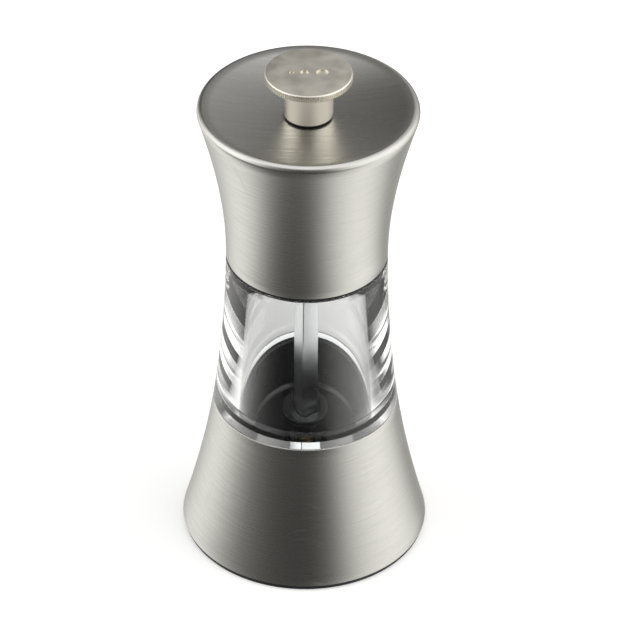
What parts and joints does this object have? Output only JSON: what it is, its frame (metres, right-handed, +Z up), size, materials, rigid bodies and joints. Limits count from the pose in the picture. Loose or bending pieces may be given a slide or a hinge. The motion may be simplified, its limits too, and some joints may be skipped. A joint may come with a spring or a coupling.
{
  "type": "pepper mill",
  "caption": "Waisted hand pepper mill with steel crown and base, clear hopper, square drive shaft and a knurled knob that sets the grind.",
  "frame": {"origin": "centre of the face that the mill stands on", "axes": "+Z up along the mill's axis; the carrier's window faces -Y"},
  "size_m": [0.066, 0.066, 0.1439],
  "materials": {
    "brushed_steel": "satin brushed round the body",
    "clear_acrylic": "clear polished acrylic",
    "black_plastic": "glossy black moulded plastic",
    "gloss_black": "glossy black moulded plastic",
    "foot_rubber": "matte black",
    "seal_black": "matte black",
    "zinc_steel": "zinc plated",
    "shaft_metal": "drawn bar, light satin",
    "spring_steel": "golden passivated wire",
    "ceramic": "light grey ceramic",
    "satin_nickel": "satin nickel plate, warm"
  },
  "bodies": {
    "housing": {"foot_ring": "foot_rubber", "base_shell": "brushed_steel", "base_insert": "black_plastic", "clear_body": "clear_acrylic", "carrier": "black_plastic", "burr_housing": "black_plastic", "housing_screw_1": "zinc_steel", "housing_screw_2": "zinc_steel", "housing_screw_3": "zinc_steel", "stator_burr": "ceramic"},
    "drive": {"drive_collar": "gloss_black", "spring_seat": "zinc_steel"},
    "spindle": {"spindle": "shaft_metal", "rotor_burr": "ceramic", "rotor_core": "black_plastic", "rotor_washer": "zinc_steel", "rotor_nut": "zinc_steel", "spring": "spring_steel"},
    "crown": {"crown_shell": "brushed_steel", "crown_liner": "black_plastic", "drive_bush": "zinc_steel", "glide_ring": "seal_black"},
    "knob": {"knob": "satin_nickel", "knob_washer": "seal_black"}
  },
  "joints": [
    {"name": "crown_turn", "type": "hinge", "parent": "housing", "child": "drive", "pos_m": [0, 0, 0.035], "axis": [0, 0, 1], "continuous": true},
    {"name": "grind_set", "type": "slide", "parent": "drive", "child": "spindle", "axis": [0, 0, 1], "range_m": [-0.0008, 0.0008], "deforming": ["spring"]},
    {"name": "crown_lift", "type": "slide", "parent": "drive", "child": "crown", "axis": [0, 0, 1], "range_m": [0, 0.06]},
    {"name": "knob_turn", "type": "hinge", "parent": "crown", "child": "knob", "pos_m": [0, 0, 0.135], "axis": [0, 0, 1], "range_deg": [-360, 360]}
  ],
  "couplings": [
    {"joint": "grind_set", "follows": "knob_turn", "m_per_rad": -0.00012732}
  ]
}
